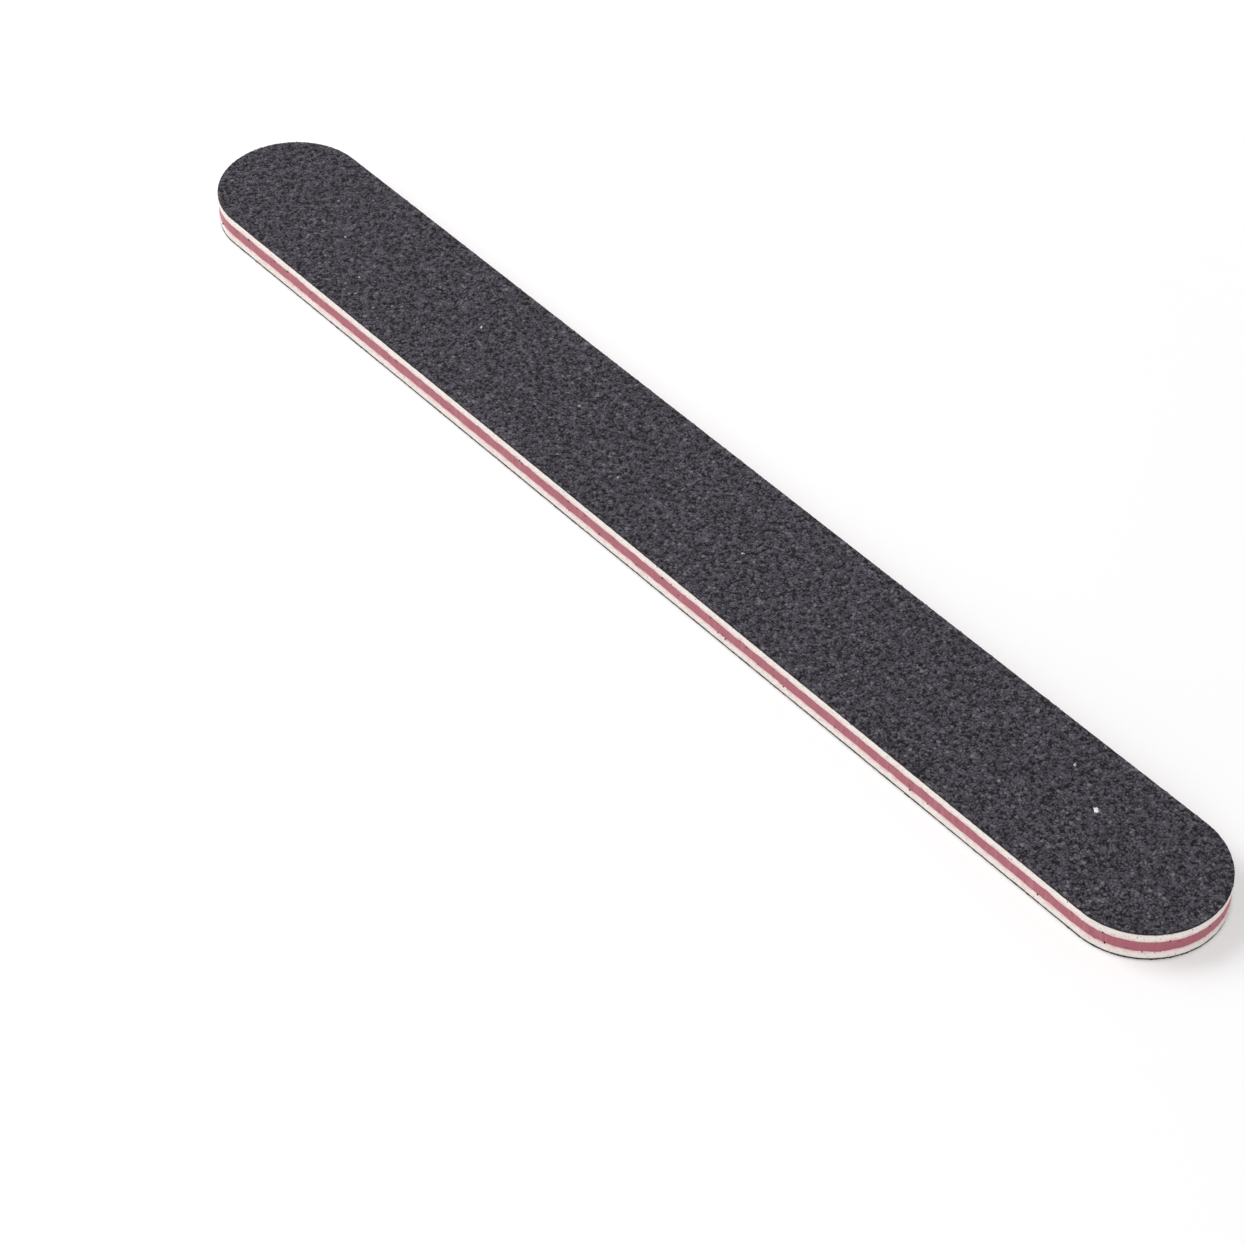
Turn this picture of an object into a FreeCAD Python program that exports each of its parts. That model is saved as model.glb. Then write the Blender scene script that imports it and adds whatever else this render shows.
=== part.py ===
"""Cushioned emery board: a flat laminated nail file with full-round ends.

A stiff plastic core strip carries a foam pad on each side. Each pad carries a sheet of abrasive
paper, which is a backing paper with a coat of bonded grit. Adhesive films bond every sheet to the
next, and one cut through the whole stack gives all the layers the same outline.

Frame: the origin is at the middle of the lower face, X runs along the board, Y across it and Z up
through the layers. All sizes are in millimetres.
"""

import FreeCAD
import Part
import Sketcher
import os

# Driving dimensions: spreadsheet alias, value, what it is.
SIZES = (
    ("board_length", 178.0, "tip to tip, a seven-inch board"),
    ("board_width", 20.0, "between the straight sides; the ends are half rounds of this width"),
    ("core_thickness", 1.45, "plastic strip that keeps the board straight"),
    ("foam_thickness", 1.1, "cushion between the core and the abrasive paper"),
    ("core_film_thickness", 0.05, "adhesive film between the core and a foam pad"),
    ("face_film_thickness", 0.05, "adhesive film between a foam pad and its abrasive paper"),
    ("paper_thickness", 0.18, "backing of the abrasive paper"),
    ("grit_thickness", 0.12, "resin coat with its grains, to the grain tips"),
)

# The stack from the lower face up: label of the layer, alias of its thickness.
LAYERS = (
    ("lower_grit_coat", "grit_thickness"),
    ("lower_backing_paper", "paper_thickness"),
    ("lower_face_adhesive", "face_film_thickness"),
    ("lower_foam_pad", "foam_thickness"),
    ("lower_core_adhesive", "core_film_thickness"),
    ("core_strip", "core_thickness"),
    ("upper_core_adhesive", "core_film_thickness"),
    ("upper_foam_pad", "foam_thickness"),
    ("upper_face_adhesive", "face_film_thickness"),
    ("upper_backing_paper", "paper_thickness"),
    ("upper_grit_coat", "grit_thickness"),
)

OUTPUT_FOLDER = "parts"

# Names of the points on a sketch element, as the sketcher numbers them.
START, END, CENTRE = 1, 2, 3
X_AXIS = -1
ORIGIN_POINT = (-1, 1)


def make_size_sheet(doc):
    """Spreadsheet of the driving dimensions, one row each, with the value's cell named by its alias."""
    sheet = doc.addObject("Spreadsheet::Sheet", "Sizes")
    for row, (alias, value, meaning) in enumerate(SIZES, start=1):
        sheet.set(f"A{row}", alias)
        sheet.set(f"B{row}", str(value))
        sheet.set(f"C{row}", meaning)
        sheet.setAlias(f"B{row}", alias)
    doc.recompute()
    return sheet


def origin_plane(body, role):
    """One of the body's own origin planes, found by its role."""
    return next(feature for feature in body.Origin.OriginFeatures if feature.Role == role)


def draw_outline(body, sheet):
    """Sketch of the cut outline: two straight sides joined by a half round at each end."""
    radius = sheet.board_width / 2
    half_spacing = (sheet.board_length - sheet.board_width) / 2
    up = FreeCAD.Vector(0, 0, 1)
    right_centre = FreeCAD.Vector(half_spacing, 0, 0)
    left_centre = FreeCAD.Vector(-half_spacing, 0, 0)
    side = FreeCAD.Vector(0, radius, 0)
    quarter_turn = FreeCAD.Units.Quantity("90 deg").getValueAs("rad").Value

    sketch = body.newObject("Sketcher::SketchObject", "Outline")
    sketch.AttachmentSupport = [(origin_plane(body, "XY_Plane"), "")]
    sketch.MapMode = "FlatFace"

    right_end = sketch.addGeometry(
        Part.ArcOfCircle(Part.Circle(right_centre, up, radius), -quarter_turn, quarter_turn)
    )
    far_side = sketch.addGeometry(Part.LineSegment(right_centre + side, left_centre + side))
    left_end = sketch.addGeometry(
        Part.ArcOfCircle(Part.Circle(left_centre, up, radius), quarter_turn, 3 * quarter_turn)
    )
    near_side = sketch.addGeometry(Part.LineSegment(left_centre - side, right_centre - side))

    loop = (right_end, far_side, left_end, near_side)
    for element, following in zip(loop, loop[1:] + loop[:1]):
        sketch.addConstraint(Sketcher.Constraint("Tangent", element, END, following, START))
    sketch.addConstraint(Sketcher.Constraint("PointOnObject", right_end, CENTRE, X_AXIS))
    sketch.addConstraint(
        Sketcher.Constraint("Symmetric", left_end, CENTRE, right_end, CENTRE, *ORIGIN_POINT)
    )
    sketch.addConstraint(Sketcher.Constraint("Equal", left_end, right_end))

    bind_dimension(
        sketch, Sketcher.Constraint("Radius", right_end, radius), "end_radius", "Sizes.board_width / 2"
    )
    bind_dimension(
        sketch,
        Sketcher.Constraint("DistanceX", left_end, CENTRE, right_end, CENTRE, 2 * half_spacing),
        "centre_spacing",
        "Sizes.board_length - Sizes.board_width",
    )
    return sketch


def bind_dimension(sketch, constraint, name, expression):
    """Adds a dimension to the sketch and ties it to the size sheet."""
    index = sketch.addConstraint(constraint)
    sketch.renameConstraint(index, name)
    sketch.setExpression(f"Constraints.{name}", expression)


def make_layer(doc, sheet, label, thickness_alias, aliases_below):
    """One flat layer of the laminate, padded from the outline and lying on the layers below it."""
    body = doc.addObject("PartDesign::Body", label)
    body.Label = label
    outline = draw_outline(body, sheet)
    pad = body.newObject("PartDesign::Pad", "Thickness")
    pad.Profile = outline
    pad.setExpression("Length", f"Sizes.{thickness_alias}")
    if aliases_below:
        height = " + ".join(f"Sizes.{alias}" for alias in aliases_below)
        body.setExpression("Placement.Base.z", height)
    return body


def make_stack(doc, sheet):
    """All the layers, from the lower face to the upper one."""
    aliases_below = []
    layers = []
    for label, thickness_alias in LAYERS:
        layers.append(make_layer(doc, sheet, label, thickness_alias, tuple(aliases_below)))
        aliases_below.append(thickness_alias)
    return layers


def check_document(doc, layers):
    """Stops the build if any object failed or a layer isn't one valid closed solid."""
    for item in doc.Objects:
        if "Invalid" in item.State or "Error" in item.State:
            raise RuntimeError(f"{item.Label} failed to compute: {item.State}")
    for layer in layers:
        shape = layer.Shape
        if shape.isNull() or not shape.isValid() or len(shape.Solids) != 1:
            raise RuntimeError(f"{layer.Label} isn't one valid solid")


def export_layers(layers):
    """Writes one STEP file for each layer, named by its label."""
    os.makedirs(OUTPUT_FOLDER, exist_ok=True)
    for layer in layers:
        layer.Shape.exportStep(os.path.join(OUTPUT_FOLDER, f"{layer.Label}.step"))


def main():
    doc = FreeCAD.newDocument("EmeryBoard")
    sheet = make_size_sheet(doc)
    layers = make_stack(doc, sheet)
    doc.recompute()
    check_document(doc, layers)
    export_layers(layers)
    for layer in layers:
        box = layer.Shape.BoundBox
        print(
            f"{layer.Label}: {box.XLength:.2f} x {box.YLength:.2f} x {box.ZLength:.3f} mm, "
            f"from z {box.ZMin:.3f}, volume {layer.Shape.Volume:.1f} mm3"
        )


main()
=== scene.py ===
"""Cushioned emery board: eleven bonded layers with grit on both faces, and the studio they lie in.

Laid out as an add-on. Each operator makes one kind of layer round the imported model, in metres and in
the model's own frame: X along the board, Y across it, Z up through the layers.
"""

import math
import random

import bpy
from bpy.props import FloatProperty, FloatVectorProperty, IntProperty, PointerProperty
from mathutils import Matrix, Vector


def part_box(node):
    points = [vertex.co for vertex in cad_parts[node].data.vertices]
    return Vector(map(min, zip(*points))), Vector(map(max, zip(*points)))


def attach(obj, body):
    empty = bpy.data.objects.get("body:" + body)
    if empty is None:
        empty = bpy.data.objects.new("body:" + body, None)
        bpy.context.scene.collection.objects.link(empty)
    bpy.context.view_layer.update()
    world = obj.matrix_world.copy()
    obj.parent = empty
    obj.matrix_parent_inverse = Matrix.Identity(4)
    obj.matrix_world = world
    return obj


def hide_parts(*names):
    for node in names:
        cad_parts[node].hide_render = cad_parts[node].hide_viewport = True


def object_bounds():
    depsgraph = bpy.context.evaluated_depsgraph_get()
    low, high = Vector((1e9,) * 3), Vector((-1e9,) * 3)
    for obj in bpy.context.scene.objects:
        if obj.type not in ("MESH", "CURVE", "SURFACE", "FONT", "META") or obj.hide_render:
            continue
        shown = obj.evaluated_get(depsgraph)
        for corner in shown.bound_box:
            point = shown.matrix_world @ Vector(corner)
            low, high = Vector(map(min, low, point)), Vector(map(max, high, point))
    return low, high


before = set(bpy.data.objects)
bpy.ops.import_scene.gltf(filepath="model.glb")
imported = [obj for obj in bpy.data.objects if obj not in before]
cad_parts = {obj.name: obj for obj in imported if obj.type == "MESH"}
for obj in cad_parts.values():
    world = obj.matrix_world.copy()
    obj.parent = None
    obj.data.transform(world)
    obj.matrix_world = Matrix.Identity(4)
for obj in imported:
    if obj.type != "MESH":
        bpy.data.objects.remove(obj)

CAD_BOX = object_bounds()

bl_info = {
    "name": "Emery Board",
    "version": (1, 0, 0),
    "blender": (4, 5, 0),
    "location": "View3D > Sidebar > Emery Board",
    "description": "Builds a cushioned emery board layer by layer on its measured frame",
    "category": "Add Mesh",
}

MM = 0.001
SQUARE_MM = MM * MM
BODY = "root"
# The board's two faces, and which way Y runs on each while it is made as an upper one.
FACES = {"upper": 1.0, "lower": -1.0}

# The board's overall size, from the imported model.
BOARD_LENGTH = CAD_BOX[1][0] - CAD_BOX[0][0]
BOARD_WIDTH = CAD_BOX[1][1] - CAD_BOX[0][1]
BOARD_THICKNESS = CAD_BOX[1][2] - CAD_BOX[0][2]
BOARD_MIDDLE = (CAD_BOX[0][2] + CAD_BOX[1][2]) / 2.0
# How far the core, the foam, the papers and the grain tips reach up and down from the board's middle.
CORE_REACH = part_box("core_strip")[1][2] - BOARD_MIDDLE
FOAM_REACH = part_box("upper_foam_pad")[1][2] - BOARD_MIDDLE
PAPER_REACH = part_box("upper_backing_paper")[1][2] - BOARD_MIDDLE
TIP_REACH = BOARD_THICKNESS / 2.0

# Names shared by the node trees, the materials and the operators.
BAKE_MAP = "OFBake"
TONE = "tone"
GRAIN_WIDTH = "size"
CELL = "cell"
LAYER_TREE = "Cut layer"
GRAIN_MATERIAL = "abrasive_grain"
# Kinds of a tree's inputs, by the types of their defaults.
SOCKET_KINDS = {float: "NodeSocketFloat", int: "NodeSocketInt", type(None): "NodeSocketMaterial"}
WHITE = (1.0, 1.0, 1.0)

# Points on a quarter of a round end, before the edge is divided evenly.
QUARTER_POINTS = 64
# Points closer than this are one point.
WELD = 0.0005 * MM
# Edges sharper than this show as creases.
CREASE = math.radians(50)
# Makes a parabola reach 1 at its top.
PARABOLA = 4.0
# Octaves of plain noise, of finer noise and of fibrous noise.
PLAIN, FINE, FIBROUS = 2.0, 3.0, 4.0

# Share of a wall's bake map that its unrolled side takes, and the number of strips it is folded into.
WALL_SHARE = 0.88
WALL_FOLDS = 16
# The same for the top of a grit coat.
FACE_SHARE = 0.92
FACE_FOLDS = 4
# Share of a strip's height that is used, so that neighbours don't run into each other.
STRIP_FILL = 0.9
# A grain in its cell of the bake map: its scale, a half's width, and a lean that opens its upright faces.
CELL_SCALE = 0.6
CELL_HALF = 0.45
CELL_LEAN = 0.3

# Distance from the middle of a foam cell over which it shallows, and the pick over which cells open.
PORE_EDGE = (0.15, 0.5)
PORE_PICK = (0.25, 0.6)
# Width of one chip in the rim of a grit coat.
RIM_CHIP_SIZE = 0.7 * MM
# Height of the grit from the bottom of a pit to where the grains stand close, and halfway up a ridge.
PIT_RANGE = (0.1, 0.29)
MID_RIDGE = 0.4
# How far noise breaks up the ridges, and its size as a share of the pits' spacing.
RIDGE_BREAK = 0.3
RIDGE_BREAK_SIZE = 0.6
# Different grain shapes to pick from, each a unit's block with its corners knocked about.
GRAIN_SHAPES = 8
GRAIN_BLOCK = 0.78
CORNER_KNOCK = 0.3
# Least width of a placed grain, as a share of the one given.
PLACED_LEAST = 0.85
# Tone of a common grain, and where the ramp's pit (dark resin with painted shade), common, light and
# glinting (a painted glint) tones lie.
MID_TONE = 0.5
TONE_STOPS = (0.1, MID_TONE, 0.9, 1.0)
# Steps from a scatter's seed to those of its grains' sizes, turns, shapes and tones.
SIZE_SEED, TURN_SEED, SHAPE_SEED, TONE_SEED = 11.0, 12.0, 13.0, 14.0
# Least rise of the normal on a face that takes grains, and the most on a wall that takes crumbs.
UP_FACING = 0.7
WALL_LEAN = 0.3


def number_setting(name, description, value, **more):
    """A number from nothing upwards that a user may change."""
    return FloatProperty(name=name, description=description, default=value, min=0.0, **more)


def length_setting(name, description, millimetres):
    """A length, written in millimetres and kept in metres."""
    return number_setting(name, description, millimetres * MM, unit="LENGTH", precision=6)


def share_setting(name, description, value):
    """A share from nothing to all."""
    return number_setting(name, description, value, max=1.0, subtype="FACTOR")


def rows_setting(name, description, rows):
    """A number of rows of points."""
    return IntProperty(name=name, description=description, default=rows, min=2)


def angle_setting(name, description, degrees):
    """An angle, written in degrees and kept in radians."""
    return FloatProperty(name=name, description=description, default=math.radians(degrees), subtype="ANGLE")


def colour_setting(name, description, value):
    """A colour that a user may change."""
    return FloatVectorProperty(
        name=name, description=description, default=value, size=3, min=0.0, max=1.0, subtype="COLOR"
    )


class EmeryCutSettings(bpy.types.PropertyGroup):
    """Shape of the cut edge round the layers."""

    foam_step: length_setting("Foam step", "Distance between points along a foam pad's edge", 0.09)
    core_step: length_setting("Core step", "Distance between points along the core's edge", 0.10)
    sheet_step: length_setting("Sheet step", "Distance between points along a paper's or a film's edge", 0.2)
    foam_rows: rows_setting("Foam rows", "Rows of points through a foam pad", 13)
    core_rows: rows_setting("Core rows", "Rows of points through the core", 7)
    sheet_rows: rows_setting("Sheet rows", "Rows of points through a paper or a film", 3)
    foam_bulge: length_setting("Foam bulge", "How far the middle of a foam edge stands out", 0.05)
    foam_waviness: length_setting("Foam waviness", "How far a foam edge wanders in and out", 0.05)
    foam_wave_size: length_setting("Foam wave size", "Length of one wander of a foam edge", 1.2)
    pore_spacing: length_setting("Pore spacing", "Distance between cut foam cells", 0.3)
    pore_depth: length_setting("Pore depth", "How deep a cut foam cell is", 0.07)
    knife_marks: length_setting("Knife marks", "Depth of the cutter's marks in the core", 0.025)
    knife_mark_size: length_setting("Knife mark size", "Width of one knife mark", 0.5)
    uprightness: share_setting("Uprightness", "How upright the knife marks are", 0.9)
    sheet_raggedness: length_setting("Sheet raggedness", "How far a paper's cut edge wanders", 0.08)
    sheet_wave_size: length_setting("Sheet wave size", "Length of one wander of a paper's edge", 0.4)
    film_raggedness: length_setting("Film raggedness", "How far a glue film's edge wanders", 0.03)
    film_wave_size: length_setting("Film wave size", "Length of one wander of a film's edge", 0.8)
    film_recess: length_setting("Film recess", "How far a glue film stops short of the cut edge", 0.05)
    seam_wander: length_setting("Seam wander", "How far the seams beside the core rise and fall", 0.26)
    seam_size: length_setting("Seam size", "Length of one rise in a seam", 1.6)


class EmeryGritSettings(bpy.types.PropertyGroup):
    """Size, number and tone of the abrasive grains and the resin that holds them."""

    resin_depth: length_setting("Resin depth", "Thickness of the resin between the grains", 0.025)
    resin_step: length_setting("Resin step", "Distance between points on the resin", 0.4)
    resin_bumps: length_setting("Resin bumps", "How far the resin rises and falls", 0.015)
    resin_bump_size: length_setting("Resin bump size", "Width of one rise in the resin", 0.9)
    rim_chips: length_setting("Rim chips", "How far the coat is chipped back at the cut edge", 0.12)
    rim_raggedness: length_setting("Rim raggedness", "How far cut grains pass or miss the edge", 0.1)
    pit_spacing: length_setting("Pit spacing", "Distance from one pit between the grains to the next", 0.95)
    # Darkens the pits: partly their dark resin, partly painted shade.
    pit_resin_and_shade: number_setting("Pit tone", "How much darker a pit's resin is", 0.55)
    # Painted shade that darkens the grit towards the pits and lightens it on the ridges.
    ridge_shading: number_setting("Ridge contrast", "How much paler a ridge is than a pit", 0.45)
    grain_contrast: number_setting("Grain contrast", "How much single grains differ in tone", 0.5)
    # Painted light on the grains' tips and painted shade at their feet.
    relief_shading: number_setting("Relief contrast", "How much paler a grain's tip is than its foot", 0.7)
    cloud_size: length_setting("Cloud size", "Width of the soft clouds of paler and darker grit", 6.0)
    cloud_contrast: number_setting("Cloud contrast", "How far the clouds differ in tone", 0.18)
    dust_size: length_setting("Dust size", "Width of the grains too fine to be modelled one by one", 0.3)
    coarse_spacing: length_setting("Coarse spacing", "Least distance between coarse grains", 0.36)
    coarse_least: length_setting("Least coarse grain", "Width of the smallest coarse grain", 0.32)
    coarse_most: length_setting("Largest coarse grain", "Width of the largest coarse grain", 0.5)
    coarse_count: number_setting("Coarse grains", "Most coarse grains on a square millimetre", 5.4)
    fine_spacing: length_setting("Fine spacing", "Least distance between fine grains", 0.22)
    fine_least: length_setting("Least fine grain", "Width of the smallest fine grain", 0.17)
    fine_most: length_setting("Largest fine grain", "Width of the largest fine grain", 0.29)
    fine_count: number_setting("Fine grains", "Most fine grains on a square millimetre", 6.4)
    flatness: share_setting("Flatness", "Height of a grain as a share of its width", 0.33)
    edge_wear: share_setting("Edge wear", "How much paler the grains near the cut edge are", 0.1)
    wear_width: length_setting("Wear width", "Width of the worn band along the cut edge", 0.8)
    crumb_least: length_setting("Least crumb", "Width of the smallest crumb on the cut edge", 0.05)
    crumb_most: length_setting("Largest crumb", "Width of the largest crumb on the cut edge", 0.14)
    crumb_count: number_setting("Crumbs", "Grit crumbs on a square millimetre of the cut edge", 0.22)
    glue_crumb_least: length_setting("Least glue crumb", "Width of the smallest crumb at a glue line", 0.12)
    glue_crumb_most: length_setting("Largest glue crumb", "Width of the largest crumb at a glue line", 0.23)
    glue_crumb_count: number_setting("Glue crumbs", "Crumbs on a square millimetre at a glue line", 0.45)
    glue_crumb_band: length_setting("Glue crumb band", "Height of the band that holds them", 0.3)
    pale_width: length_setting("Pale grain", "Width of a large pale grain", 0.72)


class EmeryColourSettings(bpy.types.PropertyGroup):
    """Colours of the layers."""

    core: colour_setting("Core", "Pink plastic of the core", (0.4, 0.11, 0.148))
    core_streak: colour_setting("Core streak", "Paler streaks that the cutter leaves", (0.49, 0.19, 0.23))
    core_dust: colour_setting("Core dust", "Dark specks caught in the cut edge", (0.2, 0.06, 0.08))
    core_smear: colour_setting("Core smear", "Pink that the cutter drags onto the foam", (0.8, 0.5, 0.51))
    foam: colour_setting("Foam", "White foam", (0.93, 0.855, 0.815))
    # Painted shade inside a cut foam cell, where the hollow would be shaded.
    foam_pore: colour_setting("Foam pore", "Inside of a cut foam cell", (0.72, 0.63, 0.55))
    paper: colour_setting("Paper", "Backing paper", (0.03, 0.028, 0.03))
    paper_fibre: colour_setting("Paper fibre", "Fibres along the paper's cut edge", (0.09, 0.082, 0.08))
    glue: colour_setting("Glue", "Adhesive films", (0.86, 0.82, 0.76))
    glue_thick: colour_setting("Thick glue", "Adhesive films where they are thicker", (0.688, 0.656, 0.608))
    # Pits between the grains: dark resin, darkened further with painted shade.
    pit: colour_setting("Pit", "Pits between the grains", (0.010, 0.009, 0.011))
    grain: colour_setting("Grain", "Most of the abrasive grains", (0.061, 0.054, 0.069))
    grain_light: colour_setting("Light grain", "Palest of the common grains", (0.112, 0.101, 0.123))
    # Top of the grit's ramp: a painted glint on rare grain tips; it is also the grey of the smaller pale
    # grains.
    grain_glint: colour_setting("Glinting grain", "Rare bright grains", (0.17, 0.16, 0.18))
    pale_grain: colour_setting("Pale grain", "Grains that the resin hasn't coloured", (0.86, 0.85, 0.83))


class EmeryStudioSettings(bpy.types.PropertyGroup):
    """Camera, lights and floor."""

    azimuth: angle_setting("Azimuth", "Camera's turn round the board", 48.69)
    elevation: angle_setting("Elevation", "Camera's height over the board", 43.0)
    distance: length_setting("Distance", "From the board's middle to the camera", 473.8)
    aim: FloatVectorProperty(
        name="Aim", description="Point on the floor at the picture's middle",
        default=(8.8 * MM, -16.65 * MM, 0.0), size=3, subtype="TRANSLATION",
    )
    lens: number_setting("Lens", "Focal length", 111.84, unit="CAMERA")
    key_watts: number_setting("Key light", "Power of the large soft lamp", 3.3, subtype="POWER")
    fill_watts: number_setting("Fill light", "Power of the low lamp by the near end", 0.5, subtype="POWER")
    ambient: share_setting("Ambient", "Light from all around", 0.55)
    floor: colour_setting("Floor", "Colour of the floor", (0.88, 0.88, 0.88))
    floor_glow: share_setting("Floor glow", "Light added where the camera sees the floor, up to white", 0.2)
    white_from: length_setting("White from", "Distance out at which the floor starts to whiten", 25.0)
    white_to: length_setting("White to", "Distance out at which the floor is white", 130.0)


class EmerySettings(bpy.types.PropertyGroup):
    """All the settings of the emery board."""

    cut: PointerProperty(type=EmeryCutSettings)
    grit: PointerProperty(type=EmeryGritSettings)
    colours: PointerProperty(type=EmeryColourSettings)
    studio: PointerProperty(type=EmeryStudioSettings)


class Signal:
    """An output of a node. Arithmetic on it adds Math nodes to the same tree."""

    def __init__(self, bench, socket):
        self.bench = bench
        self.socket = socket

    def other(self, name):
        """Another output of the same node."""
        return Signal(self.bench, open_socket(self.socket.node.outputs, name))

    def __add__(self, value):
        return self.bench.formula("ADD", self, value)

    def __radd__(self, value):
        return self.bench.formula("ADD", value, self)

    def __sub__(self, value):
        return self.bench.formula("SUBTRACT", self, value)

    def __rsub__(self, value):
        return self.bench.formula("SUBTRACT", value, self)

    def __mul__(self, value):
        return self.bench.formula("MULTIPLY", self, value)

    def __truediv__(self, value):
        return self.bench.formula("DIVIDE", self, value)

    def __rtruediv__(self, value):
        return self.bench.formula("DIVIDE", value, self)


def open_socket(sockets, name=None):
    """The socket with this number or, among those in use, with this name. With neither, the first in use."""
    if isinstance(name, int):
        return sockets[name]
    return next(socket for socket in sockets if socket.enabled and name in (None, socket.name))


class NodeBench:
    """Adds nodes to a tree. A signal given as a value is linked, and any other value is set."""

    def __init__(self, tree):
        self.tree = tree

    def feed(self, socket, value):
        """Gives a socket its value, or links it to each of a list of signals."""
        if isinstance(value, (Signal, list)):
            for part in value if isinstance(value, list) else [value]:
                self.tree.links.new(part.socket, socket)
        elif socket.type == "VECTOR" and isinstance(value, (int, float)):
            socket.default_value = (value, value, value)
        elif socket.type == "RGBA":
            socket.default_value = (*value[:3], 1.0)
        else:
            socket.default_value = value

    def add(self, kind, inputs=None, out=None, **settings):
        """Adds a node and gives its first output, or the one named."""
        node = self.tree.nodes.new(kind)
        for name, value in settings.items():
            setattr(node, name, value)
        for name, value in (inputs or {}).items():
            self.feed(open_socket(node.inputs, name), value)
        return Signal(self, open_socket(node.outputs, out))

    def formula(self, operation, *values):
        """Adds one Math node, or a Vector Math node where a value is a vector."""
        vectors = [v for v in values if isinstance(v, Signal) and v.socket.type == "VECTOR"]
        node = self.tree.nodes.new("ShaderNodeVectorMath" if vectors else "ShaderNodeMath")
        node.operation = operation
        for socket, value in zip(node.inputs, values):
            self.feed(socket, value)
        return Signal(self, open_socket(node.outputs))

    def combine(self, x, y, z):
        """A vector from its three parts."""
        return self.add("ShaderNodeCombineXYZ", {"X": x, "Y": y, "Z": z})

    def part(self, vector, axis):
        """One part of a vector."""
        return self.add("ShaderNodeSeparateXYZ", {"Vector": vector}, out=axis)

    def clamp(self, value, least=0.0, most=1.0):
        """A value kept between two others."""
        return self.add("ShaderNodeClamp", {"Value": value, "Min": least, "Max": most})

    def fade(self, value, start, end, low=0.0, high=1.0):
        """A smooth step from low to high, while the value goes from start to end."""
        limits = {"Value": value, "From Min": start, "From Max": end, "To Min": low, "To Max": high}
        return self.add("ShaderNodeMapRange", limits, interpolation_type="SMOOTHSTEP")

    def fall(self, value, start, end, high=1.0):
        """A smooth step down to nothing."""
        return self.fade(value, start, end, high, 0.0)

    def spread(self, value, low, high):
        """A value from 0 to 1 spread evenly from low to high."""
        return value * (high - low) + low

    def noise(self, vector, size, seed=0.0, detail=PLAIN):
        """Cloudy noise whose features are about this size, from 0 to 1."""
        inputs = {"Vector": vector, "W": seed, "Scale": 1.0 / size, "Detail": detail}
        return self.add("ShaderNodeTexNoise", inputs, noise_dimensions="4D")

    def wander(self, vector, size, reach, seed=0.0, detail=PLAIN):
        """Noise that goes this far either way."""
        return (self.noise(vector, size, seed, detail) - 0.5) * (reach * 2.0)

    def cells(self, vector, size, out="Distance", dimensions="3D"):
        """Distance to the middle of the nearest cell, in cells of about this size."""
        inputs = {"Vector": vector, "Scale": 1.0 / size}
        return self.add("ShaderNodeTexVoronoi", inputs, out=out, voronoi_dimensions=dimensions)

    def cell_pick(self, vector, size):
        """A random number from 0 to 1 for each cell."""
        return self.part(self.cells(vector, size, out="Color"), "X")

    def from_middle(self, place):
        """How far a place lies above or below the board's middle."""
        return self.formula("ABSOLUTE", self.part(place, "Z") - BOARD_MIDDLE)

    def stadium(self, place, length, width):
        """The nearest point of the board's middle line, the way out from it and how far out the place is."""
        reach = (length - width) / 2.0
        x = self.part(place, "X")
        y = self.part(place, "Y")
        spine = self.combine(self.clamp(x, reach * -1.0, reach), 0.0, 0.0)
        across = self.combine(x, y, 0.0) - spine
        return spine, self.formula("NORMALIZE", across), self.formula("LENGTH", across)


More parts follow.
